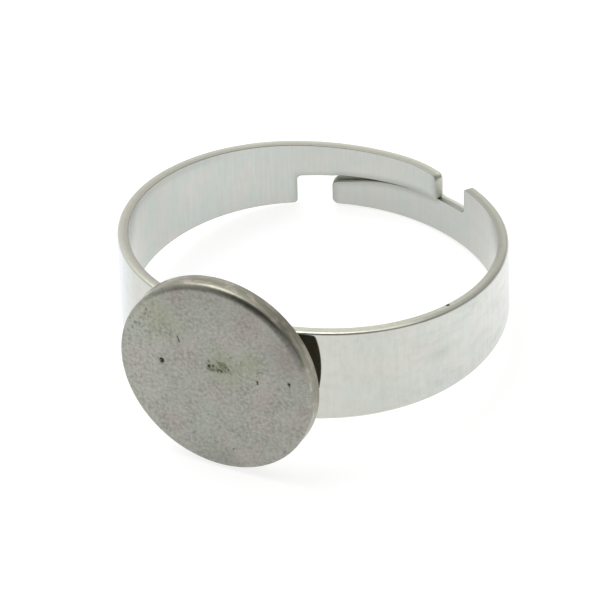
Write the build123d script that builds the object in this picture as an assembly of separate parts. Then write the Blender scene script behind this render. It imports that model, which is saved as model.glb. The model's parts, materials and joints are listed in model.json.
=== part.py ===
from build123d import *
import os
from math import asin, atan2, cos, degrees, hypot, radians, sin

# An adjustable ring blank: a strip bent to an oval ring, with a round flat pad welded on its front.
#
# The model is first made upright, with the finger hole along Z and the pad facing -Y. At the back the strip's
# two ends pass each other side by side, the left one (-X) as an upper tongue and the right one (+X) as a lower
# tongue. Last it is tipped onto the surface on which it lies by itself: it rests on the lower back edge of its
# pad and on the lower rear edge of its strip. Lengths are in millimetres.

# Finger hole and strip
hole_across = 17.75
hole_deep = 16.3
wall = 0.52
front_width = 5.0
back_width = 3.2

# Ends of the strip, measured along its middle
tongue_length = 7.85
end_gap = 1.75
curl_length = 2.5
curl_radius = 5.4
tip_round = 0.3
notch_round = 0.22

# The slanting slit between the tongues
slit_height = 0.08
slit_rise = 0.045
slit_tip_gap = 0.27
slit_root_gap = 0.09

# Pad and weld
pad_diameter = 10.0
pad_thickness = 0.95
pad_shift = -0.22
pad_drop = 0.15
pad_front_round = 0.15
pad_back_round = 0.1
weld_diameter = 3.0
weld_standoff = 0.05

# The oval has four arcs. Their centres and radii follow from a right triangle of sides 8, 15 and 17, so that
# neighbouring arcs meet without a corner whatever the two sizes of the hole are.
SIDE_LEG = 8
END_LEG = 15
HYPOTENUSE = hypot(SIDE_LEG, END_LEG)

excess = (hole_across - hole_deep) / 2
leg_unit = excess / (SIDE_LEG + END_LEG - HYPOTENUSE)
side_centre = leg_unit * SIDE_LEG
end_centre = leg_unit * END_LEG
end_radius = hole_deep / 2 + end_centre
outer_deep = hole_deep + 2 * wall
middle_radius = end_radius + wall / 2
beyond = hole_across + hole_deep + front_width + pad_diameter

# Angles at the rear arc's centre, from the rear towards -X
shoulder_angle = degrees((tongue_length + end_gap) / 2 / middle_radius)
tip_angle = degrees((tongue_length - end_gap) / 2 / middle_radius)
curl_angle = degrees(curl_length / middle_radius) - tip_angle


def oval(growth):
    """The face inside the hole's oval, grown outwards by the same amount all round."""
    across = hole_across / 2 + growth
    deep = hole_deep / 2 + growth
    join_x = (end_radius + growth) * SIDE_LEG / HYPOTENUSE
    join_y = (end_radius + growth) * END_LEG / HYPOTENUSE - end_centre
    right = ThreePointArc((join_x, -join_y), (across, 0), (join_x, join_y))
    rear = ThreePointArc((join_x, join_y), (0, deep), (-join_x, join_y))
    left = ThreePointArc((-join_x, join_y), (-across, 0), (-join_x, -join_y))
    front = ThreePointArc((-join_x, -join_y), (0, -deep), (join_x, -join_y))
    return make_face([right, rear, left, front])


def polar(centre, radius, angle):
    """The point at that distance from a centre, at an angle from the rear towards -X."""
    return (centre[0] - radius * sin(radians(angle)), centre[1] + radius * cos(radians(angle)))


def bent_strip(centre, inner_radius, from_angle, to_angle):
    """The face of a stretch of strip, seen from above, bent round a centre."""
    outer_radius = inner_radius + wall
    half_way = (from_angle + to_angle) / 2
    inner = [polar(centre, inner_radius, angle) for angle in (from_angle, half_way, to_angle)]
    outer = [polar(centre, outer_radius, angle) for angle in (to_angle, half_way, from_angle)]
    ends = [Line(inner[-1], outer[0]), Line(outer[-1], inner[0])]
    return make_face([ThreePointArc(*inner), ends[0], ThreePointArc(*outer), ends[1]])


def upright(face):
    """A face in the XY plane carried up and down, past both edges of the strip."""
    return extrude(face, beyond / 2, both=True)


def side_on(points, plane):
    """A prism through the whole ring, from its outline in the XZ or YZ plane."""
    return extrude(plane * make_face(Polyline(*points, close=True)), beyond / 2, both=True)


def half_width(y):
    """Half the strip's width at a depth: it tapers evenly from front to back."""
    share = (y + outer_deep / 2) / outer_deep
    return (front_width + (back_width - front_width) * share) / 2


def slit_top(x):
    """Height of the upper tongue's lower edge."""
    return slit_height + slit_rise * x


def slit_floor(x):
    """Height of the lower tongue's upper edge. The slit between them opens towards the lower tongue's tip."""
    tip_x = -middle_radius * sin(radians(tip_angle))
    share = (x - tip_x) / (-2 * tip_x)
    return slit_top(x) - slit_tip_gap - (slit_root_gap - slit_tip_gap) * share


def band():
    """The region between the strip's upper and lower edges, which lie in two planes that draw together."""
    front = -outer_deep / 2 - wall
    back = outer_deep / 2 + wall
    upper = [(front, half_width(front)), (back, half_width(back))]
    lower = [(back, -half_width(back)), (front, -half_width(front))]
    return side_on(upper + lower, Plane.YZ)


def beside_slit(edge, far):
    """The region on one side of a slanting edge, up to a height that is past the strip."""
    left = -beyond / 2
    right = beyond / 2
    return side_on([(left, edge(left)), (right, edge(right)), (right, far), (left, far)], Plane.XZ)


def nearest_edges(solid, points):
    """The edge nearest to each point."""
    return [solid.edges().sort_by_distance(Vector(*point))[0] for point in points]


def shank():
    """The bent strip with its two tongues, their corners rounded."""
    rear_centre = (0, -end_centre)
    curl_centre = polar(rear_centre, middle_radius - curl_radius, curl_angle)
    curl_end = curl_angle - degrees(curl_length / curl_radius)
    rear = [rear_centre, polar(rear_centre, beyond, shoulder_angle), polar(rear_centre, beyond, -shoulder_angle)]
    hoop = upright(oval(wall) - oval(0)) - upright(make_face(Polyline(*rear, close=True)))
    upper = upright(bent_strip(rear_centre, end_radius, shoulder_angle, curl_angle))
    upper += upright(bent_strip(curl_centre, curl_radius - wall / 2, curl_angle, curl_end))
    lower = upright(bent_strip(rear_centre, end_radius, -shoulder_angle, tip_angle))
    strip = (hoop & band()) + (upper & band() & beside_slit(slit_top, beyond / 2))
    strip += lower & band() & beside_slit(slit_floor, -beyond / 2)

    left = polar(rear_centre, middle_radius, shoulder_angle)
    right = polar(rear_centre, middle_radius, -shoulder_angle)
    upper_tip = polar(curl_centre, curl_radius, curl_end)
    lower_tip = polar(rear_centre, middle_radius, tip_angle)
    tip_corners = [(*upper_tip, half_width(upper_tip[1])), (*upper_tip, slit_top(upper_tip[0]))]
    tip_corners += [(*lower_tip, slit_floor(lower_tip[0])), (*lower_tip, -half_width(lower_tip[1]))]
    notch_corners = [(*left, slit_top(left[0])), (*left, -half_width(left[1]))]
    notch_corners += [(*right, slit_floor(right[0])), (*right, half_width(right[1]))]
    strip = fillet(nearest_edges(strip, tip_corners), tip_round)
    return fillet(nearest_edges(strip, notch_corners), notch_round)


def pad():
    """The disc, with a rounder edge in front than behind. Its back stands just off the strip."""
    disc = Cylinder(pad_diameter / 2, pad_thickness)
    disc = fillet(disc.edges().sort_by(Axis.Z)[-1:], pad_front_round)
    disc = fillet(disc.edges().sort_by(Axis.Z)[:1], pad_back_round)
    depth = outer_deep / 2 + weld_standoff + pad_thickness / 2
    return Plane(origin=(pad_shift, -depth, -pad_drop), x_dir=(1, 0, 0), z_dir=(0, -1, 0)) * disc


def weld():
    """The spot of molten metal between the pad's back and the middle of the strip's wall."""
    length = weld_standoff + wall / 2 + pad_thickness / 2
    middle = -outer_deep / 2 + wall / 2 - length / 2
    return Plane(origin=(0, middle, 0), x_dir=(1, 0, 0), z_dir=(0, -1, 0)) * Cylinder(weld_diameter / 2, length)


def resting(solid):
    """The ring tipped until its pad and its rear edge touch one level surface, centred over the origin."""
    pad_low = (-outer_deep / 2 - weld_standoff - pad_back_round, -pad_drop - pad_diameter / 2 + pad_back_round)
    rear_low = (outer_deep / 2, -half_width(outer_deep / 2))
    run = rear_low[0] - pad_low[0]
    rise = rear_low[1] - pad_low[1]
    tilt = degrees(atan2(rise, run) + asin(pad_back_round / hypot(run, rise)))
    tipped = Rot(-tilt, 0, 0) * solid
    box = tipped.bounding_box()
    return Pos(-box.center().X, -box.center().Y, -box.min.Z) * tipped


ring_blank = resting(shank() + weld() + pad())
os.makedirs("parts", exist_ok=True)
export_step(ring_blank, "parts/ring_blank.step")
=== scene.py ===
import json
import math

import bpy
import numpy as np
from mathutils import Matrix, Vector


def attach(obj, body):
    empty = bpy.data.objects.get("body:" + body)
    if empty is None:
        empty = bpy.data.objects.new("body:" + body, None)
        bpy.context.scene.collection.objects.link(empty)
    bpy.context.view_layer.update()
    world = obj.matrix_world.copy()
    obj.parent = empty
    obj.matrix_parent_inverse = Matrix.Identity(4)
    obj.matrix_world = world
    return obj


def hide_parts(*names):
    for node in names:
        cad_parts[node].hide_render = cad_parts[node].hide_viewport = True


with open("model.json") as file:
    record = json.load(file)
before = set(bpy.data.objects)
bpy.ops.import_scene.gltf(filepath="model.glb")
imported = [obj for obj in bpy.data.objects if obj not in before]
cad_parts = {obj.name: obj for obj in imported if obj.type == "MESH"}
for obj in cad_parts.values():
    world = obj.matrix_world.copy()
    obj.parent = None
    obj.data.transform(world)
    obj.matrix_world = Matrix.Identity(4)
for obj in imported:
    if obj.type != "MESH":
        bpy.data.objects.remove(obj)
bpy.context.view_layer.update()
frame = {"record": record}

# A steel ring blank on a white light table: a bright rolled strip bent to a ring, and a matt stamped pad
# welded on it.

# Sizes of the ring blank in millimetres, the same as in the part's source.
HOLE_ACROSS, HOLE_DEEP, WALL = 17.75, 16.3, 0.52
FRONT_WIDTH, BACK_WIDTH = 5.0, 3.2
TONGUE_LENGTH, END_GAP = 7.85, 1.75
CURL_LENGTH, CURL_RADIUS = 2.5, 5.4
TIP_ROUND, NOTCH_ROUND = 0.3, 0.22
SLIT_HEIGHT, SLIT_RISE, SLIT_TIP_GAP = 0.08, 0.045, 0.27
PAD_DIAMETER, PAD_THICKNESS = 10.0, 0.95
PAD_SHIFT, PAD_DROP, PAD_BACK_ROUND = -0.22, 0.15, 0.1
WELD_DIAMETER, WELD_STANDOFF = 3.0, 0.05

# The slit's root is a hairline here, as on the real one, and the solid keeps the tongues further apart. The
# slit opens to its mouth and would be fully open at this many times the lower tip's distance from the middle.
SLIT_ROOT_GAP, SLIT_FULL_AT = 0.005, 1.15

# Small roundings that only show here: the strip's tumbled rims, smaller in the slit, where no tumbling
# reaches, and the weld's fillet.
RIM_OUTER_ROUND, RIM_INNER_ROUND = 0.14, 0.05
SLIT_TIP_ROUND, SLIT_ROOT_ROUND = 0.11, 0.012
WELD_FILLET = 0.12

# The roll that the punch leaves round the pad, deeper on its upper right than on its lower left: how far it
# has turned, as shares of a quarter turn, at shares of its length, slowly at first and then fast. It is
# deepest at an angle from the top towards +X, stays so up to one angle from there and is slight past another.
DEEP_ROLL_WIDTH, DEEP_ROLL_DEPTH = 0.37, 0.47
SLIGHT_ROLL_WIDTH, SLIGHT_ROLL_DEPTH = 0.13, 0.1
ROLL_LENGTHS = (0, 0.06, 0.17, 0.28, 0.37, 0.47, 0.56, 0.64, 0.71, 0.8, 0.92, 1)
ROLL_TURNS = (0, 0.05, 0.13, 0.2, 0.26, 0.32, 0.4, 0.54, 0.7, 0.85, 0.95, 1)
DEEP_ROLL_AT = math.radians(27)
DEEP_ROLL_TO, SLIGHT_ROLL_FROM = math.radians(55), math.radians(95)

# How many points the strip's outline has on a rounding, down a shoulder, beside it, along a tongue and round
# the hoop.
ROUND_POINTS, SHOULDER_POINTS, BESIDE_POINTS, TONGUE_POINTS, HOOP_POINTS = 8, 16, 24, 60, 360

# Where the columns of the strip's sheets lie, as shares of its width: close together at the rims.
EDGE_COLUMNS, MIDDLE_COLUMNS = np.array([0, 0.015, 0.05]), np.linspace(0.12, 0.88, 12)

# The steps of a rim's rounding, and how far from the wall's middle the two rings on its flat lie.
RIM_STEPS, RIM_FLAT_RING = 8, 0.03

# The pad's mesh: its spokes, the distance of its face's rings, how many more lie before the roll, the steps
# of the roll, the rings on the side, and the steps of a small rounding. Rings lie just off the back's
# rounding, in the middle of the back, and on the weld's end.
SPOKES = 520
FACE_STEP, MARGIN_RINGS, ROLL_STEPS, SIDE_RINGS, ROUND_STEPS = 0.05, 4, 24, 5, 10
OFF_BACK_ROUND, BACK_RING, WELD_RING = 0.03, 3.4, 0.7

# Marks on the pad's face, in millimetres from its middle: where each starts, how far it runs right and up,
# half its width, how dark it is from 0 to 1, and its depth.
MARK = np.dtype([(column, float) for column in ("x", "z", "run", "climb", "half", "dark", "deep")])
PITS = np.array([
    (-2.81, 0.13, 0.00, 0.00, 0.16, 1.00, 0.050),
    (3.89, 0.74, 0.00, -0.04, 0.10, 0.90, 0.030),
    (2.22, 0.40, 0.02, -0.12, 0.08, 0.70, 0.020),
    (2.21, 0.86, 0.31, 0.19, 0.03, 0.40, 0.010),
    (-1.92, 1.72, 0.05, -0.14, 0.05, 0.70, 0.010),
    (-1.88, 1.59, 0.06, -0.12, 0.05, 0.60, 0.010),
    (3.25, 0.28, 0.16, 0.05, 0.12, 0.20, 0.000),
    (-1.74, -0.58, 0.00, 0.00, 0.05, 0.35, 0.010),
    (-1.50, -1.07, 0.00, 0.00, 0.05, 0.30, 0.010),
    (-2.27, -2.86, 0.00, 0.00, 0.05, 0.50, 0.015),
    (-2.56, -2.54, 0.00, 0.00, 0.04, 0.30, 0.010),
    (-0.06, -2.68, 0.00, 0.00, 0.04, 0.35, 0.010),
    (0.13, -2.76, 0.06, -0.10, 0.05, 0.40, 0.010),
    (1.66, -2.23, 0.01, -0.17, 0.05, 0.30, 0.010),
    (-1.47, -4.21, 0.00, 0.00, 0.05, 0.40, 0.010),
    (0.82, -3.90, 0.08, 0.08, 0.05, 0.45, 0.010),
    (-3.43, 0.83, 0.08, 0.02, 0.05, 0.30, 0.010),
    (-4.15, 1.89, 0.04, 0.02, 0.09, 0.55, 0.015),
    (-3.96, 1.89, 0.05, -0.02, 0.07, 0.45, 0.010),
    (-4.30, 1.56, 0.00, 0.06, 0.07, 0.40, 0.010),
    (-3.55, 2.82, 0.03, -0.03, 0.08, 0.45, 0.010),
    (-3.33, 2.70, 0.00, 0.00, 0.07, 0.35, 0.010),
    (-3.60, 2.51, 0.02, 0.04, 0.08, 0.40, 0.010),
    (-4.41, 2.07, 0.00, 0.00, 0.07, 0.40, 0.010),
    (-3.87, 2.26, 0.03, 0.00, 0.07, 0.35, 0.010),
    (-3.44, 2.46, 0.00, 0.03, 0.07, 0.30, 0.010),
    (-3.72, 2.13, 0.02, 0.02, 0.06, 0.30, 0.010),
    (-4.55, 1.32, 0.00, 0.00, 0.07, 0.30, 0.010),
], MARK)

# What shows in front of the spot weld behind the face: a crust of burnt specks.
BURNS = np.array([
    (-0.30, 0.56, 0.00, -0.07, 0.14, 1.00, 0.020),
    (-0.09, 0.61, 0.01, 0.00, 0.12, 0.85, 0.015),
    (-0.32, 0.84, 0.04, -0.04, 0.09, 0.60, 0.010),
    (-0.33, 0.40, 0.27, 0.00, 0.16, 0.55, 0.010),
    (-0.20, 0.46, 0.05, -0.01, 0.13, 0.50, 0.010),
    (0.15, 0.44, 0.19, -0.01, 0.16, 0.62, 0.012),
    (0.25, 0.83, 0.22, 0.04, 0.13, 0.60, 0.010),
    (0.53, 0.83, 0.09, -0.11, 0.13, 0.62, 0.010),
    (0.65, 0.66, 0.07, -0.09, 0.12, 0.60, 0.010),
    (0.84, 0.51, 0.03, -0.07, 0.09, 0.40, 0.005),
    (0.34, 0.68, 0.14, 0.01, 0.20, 0.42, 0.010),
    (0.14, 0.97, 0.06, -0.08, 0.10, 0.35, 0.005),
    (-0.44, 0.72, 0.01, -0.04, 0.08, 0.35, 0.005),
    (0.51, 0.49, 0.04, -0.03, 0.14, 0.40, 0.008),
    (0.88, 1.37, 0.00, 0.00, 0.08, 0.40, 0.005),
    (1.39, 1.28, 0.02, -0.19, 0.07, 0.30, 0.005),
    (0.08, 0.57, 0.04, -0.07, 0.12, 0.35, 0.005),
], MARK)

# A mark is full up to this share of its half width from its line, for pits and for burns, and gone at the
# last one.
PIT_CORE, BURN_CORE, MARK_END = 0.5, 0.2, 1.1

# Soft stains on the pad's face: where each is, its radius, and how strong its olive or its pink tint is.
STAIN = np.dtype([(column, float) for column in ("x", "z", "radius", "olive", "pink")])
STAINS = np.array([
    (-2.9, 2.5, 1.9, 0.55, 0.0),
    (0.6, 0.7, 1.5, 0.65, 0.0),
    (0.2, 0.6, 0.9, 1.0, 0.0),
    (1.9, 1.2, 1.1, 0.65, 0.0),
    (1.8, 3.1, 1.7, 0.0, 0.6),
    (3.9, 2.1, 1.3, 0.0, 0.6),
    (-2.5, -3.3, 1.1, 0.0, 0.5),
    (2.6, -0.7, 0.9, 0.0, 0.5),
    (-2.0, 3.9, 0.8, 0.0, 0.4),
], STAIN)

# How much darker the pad's face is: some all over, less or more towards a side, and more round two spots,
# so that it is darker towards the upper right, the top and the bottom edge and paler on the left. A side is a
# direction, where its change starts and ends along it, and how strong it is. A spot is its middle, its two
# radii, and how strong it is.
DARKER_ALL_OVER = 0.12
DARKER_SIDES = ((-1, 0, 1.5, 4, -0.1), (0.93, 0.37, 2, 4.9, 0.06), (0, 1, 2.5, 4.6, 0.1))
DARKER_SPOTS = ((3.7, 2.2, 0.2, 1.7, 0.12), (0, -5.6, 0.6, 2.2, 0.14))

# The pad's back has painted shade in the gap before the strip, so that the strip beside the pad mirrors it
# dark: from this far before its depth on, fully up to a height from the strip's middle line, and gone at
# another.
BACK_SHADE_STEP, BACK_SHADE_CORE, BACK_SHADE_END = 0.06, 2.3, 2.9

# The four-arc oval, from a right triangle of sides 8, 15 and 17.
SIDE_LEG, END_LEG, HYPOTENUSE = 8, 15, 17
JOIN_ANGLE = math.asin(SIDE_LEG / HYPOTENUSE)
LEG_UNIT = (HOLE_ACROSS - HOLE_DEEP) / 2 / (SIDE_LEG + END_LEG - HYPOTENUSE)
SIDE_CENTRE, END_CENTRE = SIDE_LEG * LEG_UNIT, END_LEG * LEG_UNIT
SIDE_RADIUS = HOLE_ACROSS / 2 - SIDE_CENTRE + WALL / 2
END_RADIUS = HOLE_DEEP / 2 + END_CENTRE + WALL / 2
OUTER_DEEP = HOLE_DEEP + 2 * WALL
END_TURN, SIDE_TURN = 2 * JOIN_ANGLE, math.pi - 2 * JOIN_ANGLE
END_WHOLE, SIDE_WHOLE = END_TURN * END_RADIUS, SIDE_TURN * SIDE_RADIUS
ROUND = 2 * END_WHOLE + 2 * SIDE_WHOLE
SHOULDER = (TONGUE_LENGTH + END_GAP) / 2
TIP = (TONGUE_LENGTH - END_GAP) / 2
CURL_START = CURL_LENGTH - TIP

# Where the ring lies: the finger hole's middle and its axis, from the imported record.
HOLE = next(m for m in frame["record"]["mounts"] if m["name"] == "finger_hole")
LEAN = math.atan2(HOLE["axis"][1], HOLE["axis"][2])
TO_ROW = Matrix.Translation(HOLE["pos_m"]) @ Matrix.Rotation(-LEAN, 4, "X") @ Matrix.Scale(0.001, 4)


def smooth(value, low, high):
    """A smooth step from 0 at the low value to 1 at the high one."""
    share = np.clip((value - low) / (high - low), 0, 1)
    return share * share * (3 - 2 * share)


def outward(angle):
    """Outward normals of the upright strip, at angles from the rear towards -X."""
    return np.stack([-np.sin(angle), np.cos(angle)], -1)


def bent_line(s):
    """Points and outward normals of the strip's middle line in plan, at unrolled lengths s from the rear.

    The normal's angle grows evenly with length on each of the four arcs, and a point is its arc's centre plus
    the arc's radius along the normal. Past the start of the curl the upper tongue follows a smaller arc that
    is tangent to the rear one.
    """
    lengths = np.cumsum([-END_WHOLE / 2, END_WHOLE, SIDE_WHOLE, END_WHOLE, SIDE_WHOLE, END_WHOLE])
    turns = np.cumsum([-END_TURN / 2, END_TURN, SIDE_TURN, END_TURN, SIDE_TURN, END_TURN])
    rounding_error = 1e-12
    s = np.asarray(s, float)
    normal = outward(np.interp(s, lengths, turns))
    at_end = np.abs(normal[..., 1:]) >= math.cos(JOIN_ANGLE) - rounding_error
    end_middle = np.stack([0 * s, -END_CENTRE * np.sign(normal[..., 1])], -1)
    side_middle = np.stack([SIDE_CENTRE * np.sign(normal[..., 0]), 0 * s], -1)
    points = np.where(at_end, end_middle + END_RADIUS * normal, side_middle + SIDE_RADIUS * normal)
    curl_turn = CURL_START / END_RADIUS
    curl_middle = np.array([0, -END_CENTRE]) + (END_RADIUS - CURL_RADIUS) * outward(curl_turn)
    curl_normal = outward(curl_turn + (s - CURL_START) / CURL_RADIUS)
    in_curl = (s < CURL_START)[..., None]
    return (np.where(in_curl, curl_middle + CURL_RADIUS * curl_normal, points),
            np.where(in_curl, curl_normal, normal))


def half_width(y):
    """Half the strip's width: it falls evenly from front to back."""
    return (FRONT_WIDTH + (BACK_WIDTH - FRONT_WIDTH) * (y / OUTER_DEEP + 0.5)) / 2


def top_rim(s):
    """Height of the strip's upper rim."""
    return half_width(bent_line(s)[0][..., 1])


def bottom_rim(s):
    """Height of the strip's lower rim."""
    return -top_rim(s)


def upper_tongue_edge(s):
    """Height of the upper tongue's lower edge, a line that rises evenly towards +X."""
    return SLIT_HEIGHT + SLIT_RISE * bent_line(s)[0][..., 0]


def lower_tongue_edge(s):
    """Height of the lower tongue's upper edge: below the other by a slit that opens smoothly to its tip."""
    tip_x = -END_RADIUS * math.sin(TIP / END_RADIUS)
    share = smooth(bent_line(s)[0][..., 0], SLIT_FULL_AT * tip_x, 0)
    return upper_tongue_edge(s) - SLIT_TIP_GAP - (SLIT_ROOT_GAP - SLIT_TIP_GAP) * share


def along(edge, start, end, count):
    """Outline points at even lengths along an edge, the last one left out."""
    s = np.linspace(start, end, count, endpoint=False)
    return np.stack([s, edge(s)], -1)


def corner(edge, at, way_along, way_up, radius, away=False):
    """A quarter round between an edge and the end or shoulder that crosses it at a length.

    Its points lie at that radius round a middle that is one radius along the edge and one radius up or down.
    It runs from the edge to the crossing line, or the other way if away is set, the last point left out.
    """
    turn = np.linspace(0, math.pi / 2, ROUND_POINTS + 1)
    turn = (turn[::-1] if away else turn)[:-1]
    s = at + way_along * radius * (1 - np.sin(turn))
    return np.stack([s, edge(s) + way_up * radius * (1 - np.cos(turn))], -1)


def upright_line(at, from_edge, to_edge):
    """Outline points straight across the strip at a shoulder, short of both roundings, the last left out."""
    bottom, top = from_edge(at) - NOTCH_ROUND, to_edge(at) + NOTCH_ROUND
    z = np.linspace(bottom, top, SHOULDER_POINTS, endpoint=False)
    return np.stack([np.full(SHOULDER_POINTS, at), z], -1)


def strip_chains():
    """The unrolled outline as two chains of as many points each, from the upper tongue's tip to the lower's.

    The first chain is the top rim, the right shoulder and the lower tongue's upper edge. The second is the
    upper tongue's lower edge, the left shoulder and the bottom rim. Points that face each other are joined by
    straight lines that never cross, so one chain walks slowly beside a shoulder as the other goes round it,
    and faster past each of the distances near, fan and far from there.
    """
    left, right, tip = SHOULDER, ROUND - SHOULDER, ROUND + TIP
    near, fan, far = 0.9, 1.2, 4.0
    upper = [
        corner(top_rim, -TIP, 1, -1, TIP_ROUND, away=True),
        along(top_rim, -TIP + TIP_ROUND, left - NOTCH_ROUND, TONGUE_POINTS),
        along(top_rim, left - NOTCH_ROUND, left, ROUND_POINTS),
        along(top_rim, left, left + near, SHOULDER_POINTS),
        along(top_rim, left + near, left + fan, ROUND_POINTS),
        along(top_rim, left + fan, left + far, BESIDE_POINTS),
        along(top_rim, left + far, right - far, HOOP_POINTS),
        along(top_rim, right - far, right - NOTCH_ROUND, BESIDE_POINTS),
        corner(top_rim, right, -1, -1, NOTCH_ROUND),
        upright_line(right, top_rim, lower_tongue_edge),
        corner(lower_tongue_edge, right, 1, 1, NOTCH_ROUND, away=True),
        along(lower_tongue_edge, right + NOTCH_ROUND, tip - TIP_ROUND, TONGUE_POINTS),
        corner(lower_tongue_edge, tip, -1, -1, TIP_ROUND),
        np.array([[tip, lower_tongue_edge(tip) - TIP_ROUND]]),
    ]
    lower = [
        corner(upper_tongue_edge, -TIP, 1, 1, TIP_ROUND, away=True),
        along(upper_tongue_edge, -TIP + TIP_ROUND, left - NOTCH_ROUND, TONGUE_POINTS),
        corner(upper_tongue_edge, left, -1, -1, NOTCH_ROUND),
        upright_line(left, upper_tongue_edge, bottom_rim),
        corner(bottom_rim, left, 1, 1, NOTCH_ROUND, away=True),
        along(bottom_rim, left + NOTCH_ROUND, left + far, BESIDE_POINTS),
        along(bottom_rim, left + far, right - far, HOOP_POINTS),
        along(bottom_rim, right - far, right - fan, BESIDE_POINTS),
        along(bottom_rim, right - fan, right - near, ROUND_POINTS),
        along(bottom_rim, right - near, right, SHOULDER_POINTS),
        along(bottom_rim, right, right + NOTCH_ROUND, ROUND_POINTS),
        along(bottom_rim, right + NOTCH_ROUND, tip - TIP_ROUND, TONGUE_POINTS),
        corner(bottom_rim, tip, -1, 1, TIP_ROUND),
        np.array([[tip, bottom_rim(tip) + TIP_ROUND]]),
    ]
    return np.concatenate(upper), np.concatenate(lower)


def bent(s, z, h):
    """Points of the upright ring from unrolled ones.

    Each is the middle line's point plus h along its normal, and its height follows the taper at that depth.
    """
    middle, normal = bent_line(s)
    plan = middle + h[..., None] * normal
    taper = half_width(plan[..., 1]) / half_width(middle[..., 1])
    return np.concatenate([plan, (z * taper)[..., None]], -1)


def quads(index):
    """Faces between neighbouring rows and columns of an array of vertex numbers."""
    return np.stack([index[:-1, :-1], index[1:, :-1], index[1:, 1:], index[:-1, 1:]], -1).reshape(-1, 4)


def halved(faces):
    """Each face of four corners as two triangles."""
    return np.concatenate([faces[:, [0, 1, 2]], faces[:, [0, 2, 3]]])


def surface(name, points, faces, notes):
    """A smooth closed mesh in the row's frame from points in the upright ring's millimetres.

    Its faces are turned outwards by the sign of its volume, which is the sum over the triangles of their
    corners' triple product. notes are vertex vectors that its material reads.
    """
    triangles = halved(faces) if faces.shape[1] == 4 else faces
    a, b, c = (points[triangles[:, k]] for k in range(3))
    if np.einsum("ij,ij->i", a, np.cross(b, c)).sum() < 0:
        faces = faces[:, ::-1]
    mesh = bpy.data.meshes.new(name)
    turned = np.array(TO_ROW)
    mesh.from_pydata(points @ turned[:3, :3].T + turned[:3, 3], [], faces.tolist())
    for note, values in notes.items():
        layer = mesh.attributes.new(note, "FLOAT_VECTOR", "POINT")
        layer.data.foreach_set("vector", np.ascontiguousarray(values, np.float32).ravel())
    mesh.shade_smooth()
    mesh.validate()
    piece = bpy.data.objects.new(name, mesh)
    bpy.context.scene.collection.objects.link(piece)
    return piece


def strip_shelter(outline):
    """Where an outline point of the strip is out of the tumbling stones' reach, as three shares.

    The first grows with its distance in from the strip's full width, the second is the same within the slit
    alone, and the third goes from the slit's mouth to its root.
    """
    inset_start, inset_full, mouth, root = 0.1, 0.4, 0.25, 0.6
    from_rear = np.minimum(np.abs(outline[:, 0]), np.abs(ROUND - outline[:, 0]))
    inset = top_rim(outline[:, 0]) - np.abs(outline[:, 1])
    sheltered = smooth(inset, inset_start, inset_full)
    in_slit = sheltered * (1 - smooth(from_rear, TIP - mouth, TIP))
    to_root = smooth(bent_line(outline[:, 0])[0][:, 0], -TIP, root * TIP)
    return sheltered, in_slit, to_root


def strip_painted_shade(flat, outline, sheltered):
    """How much painted shade the strip's outer and inner sheets carry, at the same points of both.

    Both have painted shade near the sheltered edges, but for the right notch's floor. The inner one has a
    line of painted shade too, just below the upper rim on both sides of the ring.
    """
    reach, margin = 0.38, 0.1
    side_start, side_full, side_fades, side_end = 8, 11, 17, 21
    line_depth, line_core, line_end, line_share = 0.25, 0.05, 0.4, 0.45
    on_notch_floor = (outline[:, 0] > ROUND - SHOULDER - margin) & (outline[:, 0] < ROUND - TIP + margin)
    shadowed = outline[(sheltered > 0.5) & ~on_notch_floor]
    # Painted shade near the sheltered edges; the inside also gets a line of painted shade under the upper
    # rim.
    shaded_and_worn = 1 - smooth(np.linalg.norm(flat[:, None] - shadowed, axis=-1).min(1), 0, reach)
    from_front = np.abs(flat[:, 0] - ROUND / 2)
    at_side = smooth(from_front, side_start, side_full) * (1 - smooth(from_front, side_fades, side_end))
    off_line = np.abs(top_rim(flat[:, 0]) - flat[:, 1] - line_depth)
    below_rim = 1 - smooth(off_line, line_core, line_end)
    return shaded_and_worn, np.maximum(shaded_and_worn, line_share * at_side * below_rim)


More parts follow.
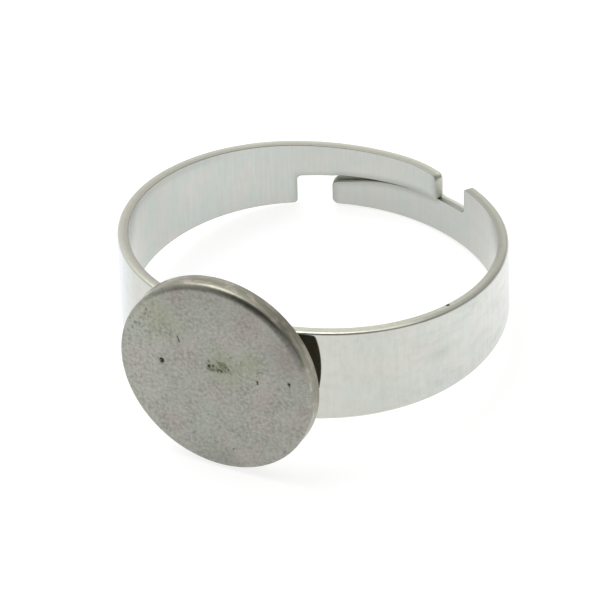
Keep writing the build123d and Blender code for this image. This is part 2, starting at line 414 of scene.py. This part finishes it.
def bent_strip():
    """The strip: an outer and an inner sheet between the outline's chains, and a rim band between the sheets.

    A sheet's point is (1 - v) of the first chain plus v of the second, both first drawn in by the rim's
    rounding. The rim band carries a profile of quarter round, flat and quarter round along the whole closed
    outline.
    """
    first, second = strip_chains()
    v = np.concatenate([EDGE_COLUMNS, MIDDLE_COLUMNS, 1 - EDGE_COLUMNS[::-1]])[None, :, None]
    rows, columns = len(first), v.size
    across = ((1 - v) * first[:, None] + v * second[:, None]).reshape(-1, 2)
    grid = np.arange(rows * columns).reshape(rows, columns)
    ring = np.concatenate([grid[:, 0], grid[-1, 1:-1], grid[::-1, -1], grid[0, -2:0:-1]])
    outline = across[ring]
    sheltered, in_slit, to_root = strip_shelter(outline)
    slit_round = SLIT_TIP_ROUND + (SLIT_ROOT_ROUND - SLIT_TIP_ROUND) * to_root
    outer_round, inner_round = (
        full + (slit_round - full) * in_slit for full in (RIM_OUTER_ROUND, RIM_INNER_ROUND))
    tangent = np.roll(outline, -1, 0) - np.roll(outline, 1, 0)
    side = np.stack([-tangent[:, 1], tangent[:, 0]], -1)
    side /= np.linalg.norm(side, axis=1)[:, None]

    def drawn_in(depth):
        """A sheet's points with its border that far inside the outline."""
        flat = across.copy()
        flat[ring] = outline - depth[:, None] * side
        flat = flat.reshape(rows, columns, 2)
        return ((1 - v) * flat[:, :1] + v * flat[:, -1:]).reshape(-1, 2)

    turn = np.linspace(0, math.pi / 2, RIM_STEPS + 1)
    out_turn, in_turn = turn[1:, None], turn[:0:-1, None]
    level = np.zeros((2, len(ring)))
    depth = np.concatenate([outer_round * (1 - np.sin(out_turn)), level, inner_round * (1 - np.sin(in_turn))])
    rise = np.concatenate([WALL / 2 - outer_round * (1 - np.cos(out_turn)),
                           level + [[RIM_FLAT_RING], [-RIM_FLAT_RING]],
                           inner_round * (1 - np.cos(in_turn)) - WALL / 2])
    cut = np.concatenate([np.sin(out_turn), [[1], [1]], np.sin(in_turn)])
    outer, inner = drawn_in(outer_round), drawn_in(inner_round)
    band = (outline - depth[..., None] * side).reshape(-1, 2)
    flat = np.concatenate([outer, inner, band])
    h = np.concatenate([np.full(len(outer), WALL / 2), np.full(len(inner), -WALL / 2), rise.ravel()])
    # Painted shade in the slit between the tongues, fading towards the root.
    lighter_at_root = 0.75
    painted_slit_shade = in_slit * (1 - lighter_at_root * to_root)
    on_band = [(cut * share).ravel() for share in (1 + 0 * in_slit, painted_slit_shade, sheltered)]
    # The sheets' painted shade, carried as the third part of strip_edge.
    shade_and_wear = np.concatenate(strip_painted_shade(outer, outline, sheltered))
    notes = {"strip_mm": np.stack([flat[:, 0], flat[:, 1], h], -1),
             "strip_edge": np.stack([np.append(0 * shade_and_wear, on_band[0]), np.append(0 * shade_and_wear, on_band[1]),
                                     np.append(shade_and_wear, on_band[2])], -1)}
    band_index = 2 * len(outer) + np.arange(len(band)).reshape(-1, len(ring))
    hoop = np.concatenate([ring[None], band_index, ring[None] + len(outer)])
    hoop = np.concatenate([hoop, hoop[:, :1]], 1)
    faces = np.concatenate([quads(grid), quads(grid + len(outer))[:, ::-1], quads(hoop)])
    return surface("strip", bent(flat[:, 0], flat[:, 1], h), faces, notes)


def marked(x, z, marks, core):
    """How dark and deep the marks make points of the pad's face, by their distance from each mark's line."""
    away = np.stack([x, z], -1)[:, None] - np.stack([marks["x"], marks["z"]], -1)
    run = np.stack([marks["run"], marks["climb"]], -1)
    no_length = 1e-9
    share = np.clip((away * run).sum(-1) / np.maximum((run * run).sum(-1), no_length), 0, 1)
    distance = np.linalg.norm(away - share[..., None] * run, axis=-1)
    strength = 1 - smooth(distance / marks["half"], core, MARK_END)
    return (strength * marks["dark"]).max(1), (strength * marks["deep"]).max(1)


def stained(x, z, tint):
    """How strongly stains tint points of the pad's face: each fades smoothly from its middle outwards."""
    distance = np.hypot(x[:, None] - STAINS["x"], z[:, None] - STAINS["z"]) / STAINS["radius"]
    return ((1 - smooth(distance, 0, 1)) * STAINS[tint]).max(1)


def darkened(x, z):
    """How much darker points of the pad's face are: the sum of smooth steps along the sides and round the
    spots.
    """
    darkening = DARKER_ALL_OVER + 0 * x
    for way_x, way_z, start, end, strength in DARKER_SIDES:
        darkening += strength * smooth(way_x * x + way_z * z, start, end)
    for middle_x, middle_z, core, radius, strength in DARKER_SPOTS:
        darkening += strength * (1 - smooth(np.hypot(x - middle_x, z - middle_z), core, radius))
    return darkening


def painted_roll_shade_at(at, across, depth):
    """How much painted shade, in an olive tint, lies at degrees from the deepest roll, distances from the
    middle and depths.

    It lies on the roll's first bend, smoothly fading at both sides and along the roll, and in a narrower arc
    on the roll's end.
    """
    radius = PAD_DIAMETER / 2
    bend_at, bend_half, bend_gone = -24, 24, 46
    bend_inner, bend_outer = radius - 0.32, radius - 0.18
    bend_depth, bend_bottom = 0.12, 0.24
    end_at, end_half, end_gone = 30, 10, 24
    end_top, end_depth, end_share = 0.15, 0.35, 0.7
    bend = smooth(across, bend_inner, bend_outer) * (1 - smooth(depth, bend_depth, bend_bottom))
    bend *= 1 - smooth(np.abs(at - bend_at), bend_half, bend_gone)
    end = smooth(depth, end_top, end_depth) * (1 - smooth(np.abs(at - end_at), end_half, end_gone))
    return np.maximum(bend, end_share * end)


def pad_profile(way):
    """The pad's profile of radius and depth at each angle round it, from the ring nearest the face's middle.

    It runs out over the punch's roll, down the side, round the back edge, in to the weld's fillet and up the
    weld into the strip's wall. The roll is the sum of small steps whose slope grows as the table says, scaled
    to its width and depth, which change smoothly round the pad.
    """
    radius, weld_radius = PAD_DIAMETER / 2, WELD_DIAMETER / 2
    all_round = 0 * way
    deep = smooth(np.cos(way - DEEP_ROLL_AT), math.cos(SLIGHT_ROLL_FROM), math.cos(DEEP_ROLL_TO))
    roll_width = SLIGHT_ROLL_WIDTH + (DEEP_ROLL_WIDTH - SLIGHT_ROLL_WIDTH) * deep
    roll_depth = SLIGHT_ROLL_DEPTH + (DEEP_ROLL_DEPTH - SLIGHT_ROLL_DEPTH) * deep
    face = np.arange(1, math.ceil((radius - DEEP_ROLL_WIDTH) / FACE_STEP))[:, None] * FACE_STEP + all_round
    margin = np.linspace(face[-1], radius - roll_width, MARGIN_RINGS + 2)[1:-1]
    lengths = (np.arange(ROLL_STEPS) + 0.5) / ROLL_STEPS
    slopes = np.interp(lengths, ROLL_LENGTHS, ROLL_TURNS) * math.pi / 2
    out, down = (
        np.append(0, np.cumsum(part))[:, None] / part.sum() for part in (np.cos(slopes), np.sin(slopes)))
    side_share = np.linspace(0, 1, SIDE_RINGS + 2)[1:-1, None]
    side = roll_depth + (PAD_THICKNESS - PAD_BACK_ROUND - roll_depth) * side_share
    turn = np.linspace(0, math.pi / 2, ROUND_STEPS + 1)
    back_turn = turn[::-1]
    weld_end = PAD_THICKNESS + WELD_STANDOFF + WALL / 2
    behind = np.concatenate([
        np.stack([radius - PAD_BACK_ROUND * (1 - np.sin(back_turn)),
                  PAD_THICKNESS - PAD_BACK_ROUND * (1 - np.cos(back_turn))], -1),
        [[radius - PAD_BACK_ROUND - OFF_BACK_ROUND, PAD_THICKNESS], [BACK_RING, PAD_THICKNESS]],
        np.stack([weld_radius + WELD_FILLET * (1 - np.sin(turn)),
                  PAD_THICKNESS + WELD_FILLET * (1 - np.cos(turn))], -1),
        [[weld_radius, weld_end], [WELD_RING, weld_end]],
    ])
    wide = [face, margin, radius - roll_width * (1 - out), radius + 0 * side, behind[:, :1] + all_round]
    low = [0 * face, 0 * margin, roll_depth * down, side, behind[:, 1:] + all_round]
    return np.concatenate(wide), np.concatenate(low), weld_end


def turned_pad():
    """The pad with its weld: its profile carried once round the pad's axis, closed by a point at each end.

    The marks on the face are pressed in to their depth.
    """
    way = np.linspace(0, 2 * math.pi, SPOKES, endpoint=False)
    rings, depths, weld_end = pad_profile(way)
    x = np.append(rings * np.sin(way), [0, 0])
    z = np.append(rings * np.cos(way), [0, 0])
    depth = np.append(depths, [0, weld_end])
    index = np.arange(rings.size).reshape(-1, SPOKES)
    loop = np.concatenate([index, index[:, :1]], 1)
    front_pole, back_pole = (np.full(SPOKES, index.size + k) for k in (0, 1))
    front = np.stack([front_pole, loop[0, :-1], loop[0, 1:]], -1)
    rear = np.stack([back_pole, loop[-1, 1:], loop[-1, :-1]], -1)
    faces = np.concatenate([front, halved(quads(loop)), rear])
    on_face = depth < SLIGHT_ROLL_DEPTH
    off_deepest = np.arctan2(np.sin(way - DEEP_ROLL_AT), np.cos(way - DEEP_ROLL_AT))
    at = np.degrees(np.append(off_deepest + 0 * rings, [0, 0]))
    (dark, pit), (burnt, crust) = marked(x, z, PITS, PIT_CORE), marked(x, z, BURNS, BURN_CORE)
    olive, pink = (np.where(on_face, stained(x, z, tint), 0) for tint in ("olive", "pink"))
    # Painted shade on the pad's back, in the gap before the strip.
    painted_back_shade = smooth(depth, PAD_THICKNESS - BACK_SHADE_STEP, PAD_THICKNESS)
    painted_back_shade *= 1 - smooth(np.abs(z - PAD_DROP), BACK_SHADE_CORE, BACK_SHADE_END)
    sunk = depth + np.where(on_face, np.maximum(pit, crust), 0)
    y = sunk - (OUTER_DEEP / 2 + WELD_STANDOFF + PAD_THICKNESS)
    points = np.stack([x + PAD_SHIFT, y, z - PAD_DROP], -1)
    marks = np.where(on_face, np.maximum(dark, burnt), 0)
    # pad_marks holds the marks, the painted shade on the roll and the painted shade on the back.
    notes = {"pad_mm": np.stack([x, z, depth], -1),
             "pad_marks": np.stack([marks, painted_roll_shade_at(at, np.hypot(x, z), depth), painted_back_shade], -1),
             "pad_stains": np.stack([olive, pink, darkened(x, z)], -1)}
    return surface("pad", points, faces, notes)


def linear(hex_colour):
    """The linear colour of an sRGB hex value."""
    parts = np.array([int(hex_colour[k:k + 2], 16) for k in (1, 3, 5)]) / 255
    return (*np.where(parts <= 0.04045, parts / 12.92, ((parts + 0.055) / 1.055) ** 2.4), 1)


def add(tree, kind, inputs=(), **settings):
    """A node in the tree with its settings, each input given as a value or as the socket that feeds it."""
    node = tree.nodes.new(kind)
    for name, value in settings.items():
        setattr(node, name, value)
    for key, value in dict(inputs).items():
        if isinstance(value, bpy.types.NodeSocket):
            tree.links.new(value, node.inputs[key])
        else:
            node.inputs[key].default_value = value
    return node


def new_material(name):
    """An empty node material and its tree."""
    material = bpy.data.materials.new(name)
    material.use_nodes = True
    material.node_tree.nodes.clear()
    return material, material.node_tree


# A Mix node's sockets for numbers and for colours: its factor, its two ends and its result.
MIX_SOCKETS = {"FLOAT": (0, 2, 3, 0), "RGBA": (0, 6, 7, 2)}


def finished(tree, part, finish):
    """Adds the rows of a finish's tables to a material's parts, which are sockets by name, each row a part.

    A pattern is a noise: how many of its features lie in a millimetre along each axis, how far it is turned
    about the last one, its detail and its roughness. A share is measured by another part: where it starts and
    ends, in millimetres or in that part's strength, and its value at both. A soft share changes smoothly
    between them. A sum takes two parts together. A blend of numbers and a coat of colour go from the first of
    two to the second as far as their share says, and a row may use the rows before it.
    """

    def given(value):
        """A part by its name, a colour by its hex value, or a number as it is."""
        return linear(value) if str(value).startswith("#") else part.get(value, value)

    for name, features, turn, detail, roughness in finish["patterns"]:
        at = add(tree, "ShaderNodeMapping", {
            "Vector": part["spot"], "Rotation": (0, 0, turn), "Scale": features}).outputs[0]
        part[name] = add(tree, "ShaderNodeTexNoise", {
            "Vector": at, "Scale": 1, "Detail": detail, "Roughness": roughness}).outputs[0]
    for change, rows in (("SMOOTHSTEP", finish["soft shares"]), ("LINEAR", finish["shares"])):
        for name, measure, start, end, at_start, at_end in rows:
            part[name] = add(tree, "ShaderNodeMapRange", {
                0: part[measure], 1: start, 2: end, 3: at_start, 4: at_end},
                interpolation_type=change).outputs[0]
    for name, operation, first, second in finish["sums"]:
        part[name] = add(tree, "ShaderNodeMath", {0: given(first), 1: given(second)},
                         operation=operation, use_clamp=True).outputs[0]
    for kind, rows in (("FLOAT", finish["blends"]), ("RGBA", finish["coats"])):
        factor, under, over, result = MIX_SOCKETS[kind]
        for name, share, first, second in rows:
            inputs = {factor: part[share], under: given(first), over: given(second)}
            part[name] = add(tree, "ShaderNodeMix", inputs, data_type=kind).outputs[result]


def noted(tree, notes):
    """A material's parts by name: the spot in millimetres, and the three numbers of each of its notes."""
    part = {}
    for note, names in notes.items():
        vector = add(tree, "ShaderNodeAttribute", attribute_name=note).outputs["Vector"]
        part.setdefault("spot", vector)
        part.update(zip(names, add(tree, "ShaderNodeSeparateXYZ", {0: vector}).outputs))
    return part


def polished(tree, part, strength, height):
    """Closes a steel's tree: bare metal of its colour and roughness, its relief a bump's height in metres."""
    bump = add(tree, "ShaderNodeBump", {
        "Height": part["relief"], "Strength": strength, "Distance": height}).outputs[0]
    shader = add(tree, "ShaderNodeBsdfPrincipled", {
        "Base Color": part["colour"], "Metallic": 1, "Roughness": part["rough"], "Normal": bump})
    add(tree, "ShaderNodeOutputMaterial", {0: shader.outputs[0]})


# Brushing across the strip, drawn coarser than the real one so that it shows: lines 0.1 mm apart and 2 mm
# long. Clouds are stains of 1 to 3 mm, blotches are some 0.3 mm, rubbed streaks 0.4 mm wide and 3 mm long,
# and the rims' grain is 0.2 mm.
#
# The outside is painted darker beside the pad and paler towards the sides, a painted reflection of the
# brighter floor there, and has a painted pale bluish reflection on the left. The inside is painted darker
# than the outside past the pad, more so on the right and at the rear: painted shade, as the floor it mirrors
# lies in the ring's shade. The walls have painted shade near the sheltered edges, but for the right notch's
# floor, and inside a line of painted shade just below the upper rim at both sides. On the right the outside
# is rubbed and has a greasy smudge of 2 mm. Behind the pad the rolled skin is untouched and mirrors the pad's
# back. The front rim's outer edge has a painted highlight to the right of the pad's middle, and beyond it the
# rim's outer half has a painted dark reflection. Elsewhere the rims' inner half is worn to a pinkish grey,
# and the rear's outer half is pale. No tumbling reaches the tongues' ends, the notch floors and the slit, and
# a rim's inner edge is the dullest. The sheltered cut faces on the right, the notch floor among them, have
# painted shade on their inner half and painted light on their outer half, and the slit has painted shade.
STRIP_FINISH = {
    "patterns": (
        ("lines", (9, 0.5, 1), 0, 3, 0.6),
        ("clouds", (0.6, 0.6, 0.6), 0, 3, 0.6),
        ("blotches", (2.2, 2.2, 2.2), 0, 4, 0.65),
        ("streaks", (0.5, 2.4, 1), -0.45, 3, 0.6),
        ("grain", (5, 5, 5), 0, 4, 0.6),
    ),
    "soft shares": (
        ("clouded", "clouds", 0.35, 0.65, 0, 1),
        ("outwards", "height", -0.12, 0.1, 0, 1),
        ("inwards", "height", -0.1, 0.12, 1, 0),
    ),
    "shares": (
        ("is_outside", "height", -0.1, 0.1, 0, 1),
        ("is_rim", "cut", 0, 0.25, 0, 1),
        ("on_right", "past_front", -0.01, 0.01, 0, 1),
        ("painted_light_past_pad", "from_front", 7, 15, 0, 1),
        ("left_start", "past_front", -6, -10, 0, 1),
        ("left_end", "past_front", -20, -12, 0, 1),
        ("inner_right", "past_front", 6, 15, 0, 0.3),
        ("inner_rear", "from_front", 17, 23, 0, 0.2),
        ("brushed", "lines", 0.3, 0.7, 0, 0.13),
        ("smudge_reach", "to_smudge", 0.2, 1.2, 0.3, 0),
        ("blotched", "blotches", 0.44, 0.76, 0, 0.2),
        ("streaked", "streaks", 0.48, 0.78, 0, 0.24),
        ("rubbed_side", "past_front", 6, 10, 0, 1),
        ("dulled_side", "is_outside", 0, 1, 0.5, 1),
        ("painted_edge_shade", "sheltered", 0, 1, 0, 0.45),
        ("pinkish_rim", "clouded", 0, 1, 0, 0.35),
        ("inner_half", "height", 0.08, -0.1, 0, 0.5),
        ("outer_half", "height", -0.15, 0.1, 0, 1),
        ("outer_part", "height", -0.04, 0.1, 0, 0.45),
        ("outer_edge", "height", 0.16, 0.2, 0, 1),
        ("bright_start", "past_front", 0, 2, 0, 1),
        ("bright_end", "past_front", 7.5, 9.5, 1, 0),
        ("past_bright", "past_front", 8, 10, 0, 1),
        ("before_side", "past_front", 17, 14, 0, 1),
        ("right_dull", "past_front", 9.5, 14, 0, 0.25),
        ("rear_pale", "from_front", 16, 21, 0, 0.5),
        ("unpolished", "sheltered", 0, 1, 0, 0.8),
        ("black_spot", "to_spot", 0.07, 0.13, 0.95, 0),
        ("touched", "from_front", 4.5, 5.5, 0, 1),
        ("bumped", "touched", 0, 1, 0, 0.18),
        ("wall_rough", "lines", 0.3, 0.7, 0.19, 0.25),
        ("rim_rough", "height", -0.14, 0.02, 0.6, 0.3),
    ),
    "sums": (
        ("on_left", "MULTIPLY", "left_start", "left_end"),
        ("smudged", "MULTIPLY", "smudge_reach", "clouded"),
        ("rubbed", "MULTIPLY", "streaked", "rubbed_side"),
        ("dulled", "ADD", "blotched", "rubbed"),
        ("dulled", "MULTIPLY", "dulled", "dulled_side"),
        ("bright", "MULTIPLY", "bright_start", "bright_end"),
        # Painted highlight on the front rim right of the pad's middle: paler all over and near white at the
        # outer edge.
        ("painted_rim_light", "MULTIPLY", "bright", 0.15),
        ("painted_highlight", "MULTIPLY", "bright", "outer_edge"),
        ("front_right", "MULTIPLY", "past_bright", "before_side"),
        # Painted dark reflection on the outer half of the front right rim.
        ("painted_dark_reflection", "MULTIPLY", "outer_part", "front_right"),
        ("elsewhere", "SUBTRACT", 1, "front_right"),
        ("elsewhere", "SUBTRACT", "elsewhere", "bright"),
        ("inner_worn", "MULTIPLY", "inner_half", "elsewhere"),
        ("pale", "MULTIPLY", "outer_half", "rear_pale"),
    ),
    "blends": (
        ("wall_rough", "touched", 0.05, "wall_rough"),
        ("rim_rough", "sheltered", "rim_rough", 0.5),
        ("rough", "is_rim", "wall_rough", "rim_rough"),
        ("relief", "cut", "lines", "grain"),
    ),
    "coats": (
        # Painted light: the outside is darker beside the pad and paler towards the sides, a painted
        # reflection of the floor, mixed with pinkish and greenish clouds.
        ("pinkish", "painted_light_past_pad", "#cacac3", "#dfdfdb"),
        ("greenish", "painted_light_past_pad", "#c6cac3", "#dce0dc"),
        ("outside", "clouded", "pinkish", "greenish"),
        # Painted pale bluish reflection on the left outside.
        ("outside", "on_left", "outside", "#e2e6f2"),
        # The inside is painted darker, more so on the right and at the rear: painted shade for the shaded
        # floor it mirrors.
        ("inside", "clouded", "#cccbc6", "#c5cbc6"),
        ("inside", "inner_right", "inside", "#a8a9a4"),
        ("inside", "inner_rear", "inside", "#a6a7a2"),
        ("walls", "is_outside", "inside", "outside"),
        ("walls", "brushed", "walls", "#a4a69f"),
        ("walls", "smudged", "walls", "#a3a39c"),
        ("walls", "dulled", "walls", "#a0a39b"),
        # Painted shade on the walls near sheltered edges and under the upper rim inside.
        ("walls", "painted_edge_shade", "walls", "#7d8177"),
        ("rims", "grain", "#b5b7ab", "#d6d8c9"),
        ("rims", "pinkish_rim", "rims", "#c8c1bb"),
        ("rims", "inner_worn", "rims", "#9c9791"),
        # Painted dark reflection.
        ("rims", "painted_dark_reflection", "rims", "#7f7e72"),
        ("rims", "pale", "rims", "#e6e8d6"),
        ("rims", "right_dull", "rims", "#878880"),
        # Painted highlight on the front rim.
        ("rims", "painted_rim_light", "rims", "#f3f2da"),
        ("rims", "painted_highlight", "rims", "#f8f6e6"),
        ("upper_tongue", "outwards", "#dcdfd8", "#d2d4ca"),
        # On the right's sheltered cut faces, the notch floor among them: painted shade on the inner half and
        # painted light on the outer half.
        ("lower_tongue", "inwards", "#dcdfd8", "#9b9d92"),
        ("sheltered_rims", "on_right", "upper_tongue", "lower_tongue"),
        ("rims", "unpolished", "rims", "sheltered_rims"),
        # Painted shade in the slit.
        ("rims", "in_slit", "rims", "#85877b"),
        ("colour", "cut", "walls", "rims"),
        ("colour", "black_spot", "colour", "#1d1c16"),
    ),
}

# How far past the front's middle the greasy smudge lies, and how it is squeezed and turned; and how far past
# it the blackened spot on the rim lies, and at which height in the wall.
SMUDGE_PAST, SMUDGE_FEATURES, SMUDGE_TURN = 10.4, (0.9, 2.4, 1), 0.15
SPOT_PAST, SPOT_HEIGHT = 10.95, -0.17


def rolled_steel():
    """Stainless steel strip, cold rolled and tumbled: a bright satin that mirrors what is near it and blurs
    the rest, with faint brushing across the strip. Its cut rims are a little warmer and duller, with painted
    shade in the slit between the tongues, where no tumbling reaches. Walls and rims also carry painted light,
    painted shade and painted reflections."""
    material, tree = new_material("stainless_steel_rolled_and_tumbled")
    part = noted(tree, {"strip_mm": ("length", "up", "height"),
                        "strip_edge": ("cut", "in_slit", "sheltered")})
    part["past_front"] = add(tree, "ShaderNodeMath", {0: part["length"], 1: ROUND / 2},
                             operation="SUBTRACT").outputs[0]
    part["from_front"] = add(tree, "ShaderNodeMath", {0: part["past_front"]}, operation="ABSOLUTE").outputs[0]
    squeezed = Vector(((ROUND / 2 + SMUDGE_PAST) * SMUDGE_FEATURES[0], 0, WALL / 2))
    spot_length = ROUND / 2 + SPOT_PAST
    smudge_at = add(tree, "ShaderNodeMapping", {
        "Vector": part["spot"], "Scale": SMUDGE_FEATURES, "Rotation": (0, 0, SMUDGE_TURN)}).outputs[0]
    for name, at, middle in (
            ("to_smudge", smudge_at, Matrix.Rotation(SMUDGE_TURN, 3, "Z") @ squeezed),
            ("to_spot", part["spot"], (spot_length, float(top_rim(spot_length)), SPOT_HEIGHT))):
        part[name] = add(tree, "ShaderNodeVectorMath", {0: at, 1: middle},
                         operation="DISTANCE").outputs["Value"]
    finished(tree, part, STRIP_FINISH)
    polished(tree, part, strength=part["bumped"], height=0.00001)
    return material


# Mottling: pinkish and greenish clouds of 2 mm, patches of 1 mm where the tumbled skin's soft dimples of 0.2
# mm show more, and finer dark specks. Pits and burns have their edges broken up by crumbs of 0.1 mm. The
# sheared side has fine lines along it and lighter worn patches.
PAD_FINISH = {
    "patterns": (
        ("clouds", (0.6, 0.6, 0.6), 0, 3, 0.5),
        ("relief", (5.5, 5.5, 5.5), 0, 2, 0.6),
        ("patches", (0.9, 0.9, 0.9), 0, 3, 0.5),
        ("specks", (6.5, 6.5, 6.5), 0, 2, 0.5),
        ("crumbs", (10, 10, 10), 0, 2, 0.5),
        ("lines", (0.5, 0.5, 9), 0, 4, 0.5),
        ("shade_and_wear", (1.2, 1.2, 3), 0, 3, 0.6),
    ),
    "soft shares": (
        ("clouded", "clouds", 0.35, 0.65, 0, 1),
        ("is_side", "depth", 0.1, 0.25, 0, 1),
    ),
    "shares": (
        ("dimpled", "relief", 0.3, 0.7, 0.7, 0),
        ("patched", "patches", 0.3, 0.7, 0.4, 1.15),
        ("speckled", "specks", 0.62, 0.72, 0, 0.5),
        ("crumbled", "crumbs", 0.4, 0.6, 0.5, 1.4),
        ("shaded_and_worn", "shade_and_wear", 0.5, 0.62, 0, 0.85),
        ("not_back", "depth", 0.85, 0.93, 1, 0.25),
        ("painted_roll_shade_share", "painted_roll_shade", 0, 1, 0, 0.4),
        ("rough", "depth", 0.005, 0.05, 0.42, 0.33),
    ),
    "sums": (
        ("dimpled", "MULTIPLY", "dimpled", "patched"),
        ("marked", "MULTIPLY", "marks", "crumbled"),
        ("shaded_and_worn", "MULTIPLY", "shaded_and_worn", "not_back"),
    ),
    "blends": (),
    "coats": (
        ("face", "clouded", "#b1b4aa", "#b5b2ab"),
        ("face", "olive", "face", "#a2a78b"),
        ("face", "pink", "face", "#b4a8a3"),
        # The face is darker towards the upper right, the top and the bottom edge, and paler on the left.
        ("face", "darkening", "face", "#24241e"),
        ("face", "dimpled", "face", "#73746d"),
        ("face", "speckled", "face", "#66675f"),
        ("face", "marked", "face", "#26261b"),
        ("side", "lines", "#76766a", "#acab9b"),
        ("side", "shaded_and_worn", "side", "#bcb1a8"),
        ("colour", "is_side", "face", "side"),
        # Painted shade on the roll's bend and on a patch of the side, in an olive tint.
        ("colour", "painted_roll_shade_share", "colour", "#66644f"),
        # Painted shade on the pad's back.
        ("colour", "painted_back_shade", "colour", "#48443a"),
    ),
}


def stamped_steel():
    """Stainless steel disc, punched from sheet and tumbled matt: a mottled grey face that blurs all
    reflections, with pits, scratches and the burnt mark of the spot weld. Its roll and a patch of its side
    have painted shade in an olive tint, its sheared side is warmer, with marks along the cut, and the back
    has painted shade, dark in the narrow gap before the strip, which the strip beside the pad mirrors."""
    material, tree = new_material("stainless_steel_stamped_matt")
    part = noted(tree, {"pad_mm": ("x", "z", "depth"), "pad_marks": ("marks", "painted_roll_shade", "painted_back_shade"),
                        "pad_stains": ("olive", "pink", "darkening")})
    finished(tree, part, PAD_FINISH)
    polished(tree, part, strength=0.22, height=0.00002)
    return material


def table():
    """A wide white table top of opal acrylic, lit from below so that hardly any shadow shows."""
    size = 0.6
    corners = [(-size, -size, 0), (size, -size, 0), (size, size, 0), (-size, size, 0)]
    mesh = bpy.data.meshes.new("table")
    mesh.from_pydata(corners, [], [(0, 1, 2, 3)])
    floor = bpy.data.objects.new("table", mesh)
    bpy.context.scene.collection.objects.link(floor)
    material, tree = new_material("opal_acrylic_lit_from_below")
    shader = add(tree, "ShaderNodeBsdfPrincipled", {
        "Base Color": linear("#a6a6a6"), "Roughness": 0.6,
        "Emission Color": (1, 1, 1, 1), "Emission Strength": 0.76})
    add(tree, "ShaderNodeOutputMaterial", {0: shader.outputs[0]})
    mesh.materials.append(material)


# What the studio's brightness changes with: a direction, where the change starts and ends in the cosine of
# the angle from it, and the brightness at both. The tent is bright above and on the left. The photographer is
# a dark disc, but not in low directions, and there is a dark stand on the right.
STUDIO_SIDES = {
    "tent": ((-0.42, 0.25, 0.872), 0.25, 1, 0.5, 1.2),
    "disc": ((0.269, -0.553, 0.789), 0.52, 0.95, 1.1, 0.07),
    "low": ((-0.303, 0.578, 0.758), -0.36, -0.08, 1.2, 0),
    "stand": ((0.953, -0.05, 0.299), 0.8, 0.93, 1.2, 0.3),
}
STUDIO_SUMS = (
    ("person", "MAXIMUM", "disc", "low"),
    ("darkest", "MINIMUM", "person", "stand"),
    ("strength", "MINIMUM", "tent", "darkest"),
)


def studio():
    """A grey tent that is bright above and on the left, and dark round the camera, with one large softbox."""
    world = bpy.data.worlds.new("studio")
    world.use_nodes = True
    tree = world.node_tree
    tree.nodes.clear()
    way = add(tree, "ShaderNodeTexCoord").outputs["Generated"]
    bright = {}
    for name, (direction, start, end, at_start, at_end) in STUDIO_SIDES.items():
        cosine = add(tree, "ShaderNodeVectorMath", {0: way, 1: direction},
                     operation="DOT_PRODUCT").outputs["Value"]
        bright[name] = add(tree, "ShaderNodeMapRange", {0: cosine, 1: start, 2: end, 3: at_start, 4: at_end},
                           interpolation_type="SMOOTHSTEP").outputs[0]
    for name, operation, first, second in STUDIO_SUMS:
        bright[name] = add(tree, "ShaderNodeMath", {0: bright[first], 1: bright[second]},
                           operation=operation).outputs[0]
    light = add(tree, "ShaderNodeBackground", {"Color": (1, 1, 0.985, 1), "Strength": bright["strength"]})
    add(tree, "ShaderNodeOutputWorld", {0: light.outputs[0]})
    bpy.context.scene.world = world
    lamp = bpy.data.lights.new("softbox", "AREA")
    lamp.shape, lamp.size, lamp.size_y, lamp.energy = "RECTANGLE", 0.3, 0.3, 0.62
    box = bpy.data.objects.new("softbox", lamp)
    box.location = (-0.13, 0.07, 0.37)
    box.rotation_euler = (-box.location).to_track_quat("-Z", "Y").to_euler()
    bpy.context.scene.collection.objects.link(box)
    bpy.context.scene.view_settings.view_transform = "Standard"


def camera():
    """The photograph's camera: fitted to the ring's edges, in the row's frame, seen from 290 mm."""
    lens = bpy.data.cameras.new("camera")
    lens.sensor_width, lens.lens = 36, 365.117
    lens.clip_start, lens.clip_end = 0.01, 10
    eye = bpy.data.objects.new("camera", lens)
    right = Vector((0.88970589, 0.44254888, -0.11213349))
    up = Vector((-0.24234159, 0.66597104, 0.70551622))
    back = Vector((0.38690306, -0.60052733, 0.69976635))
    place = Matrix((right, up, back)).transposed().to_4x4()
    place.translation = Vector((0.11197336, -0.17456545, 0.20528597))
    eye.matrix_world = place
    bpy.context.scene.collection.objects.link(eye)
    bpy.context.scene.camera = eye


camera()
studio()
table()
strip, pad = bent_strip(), turned_pad()
strip.data.materials.append(rolled_steel())
pad.data.materials.append(stamped_steel())
for piece in (strip, pad):
    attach(piece, "root")
    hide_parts("ring_blank")
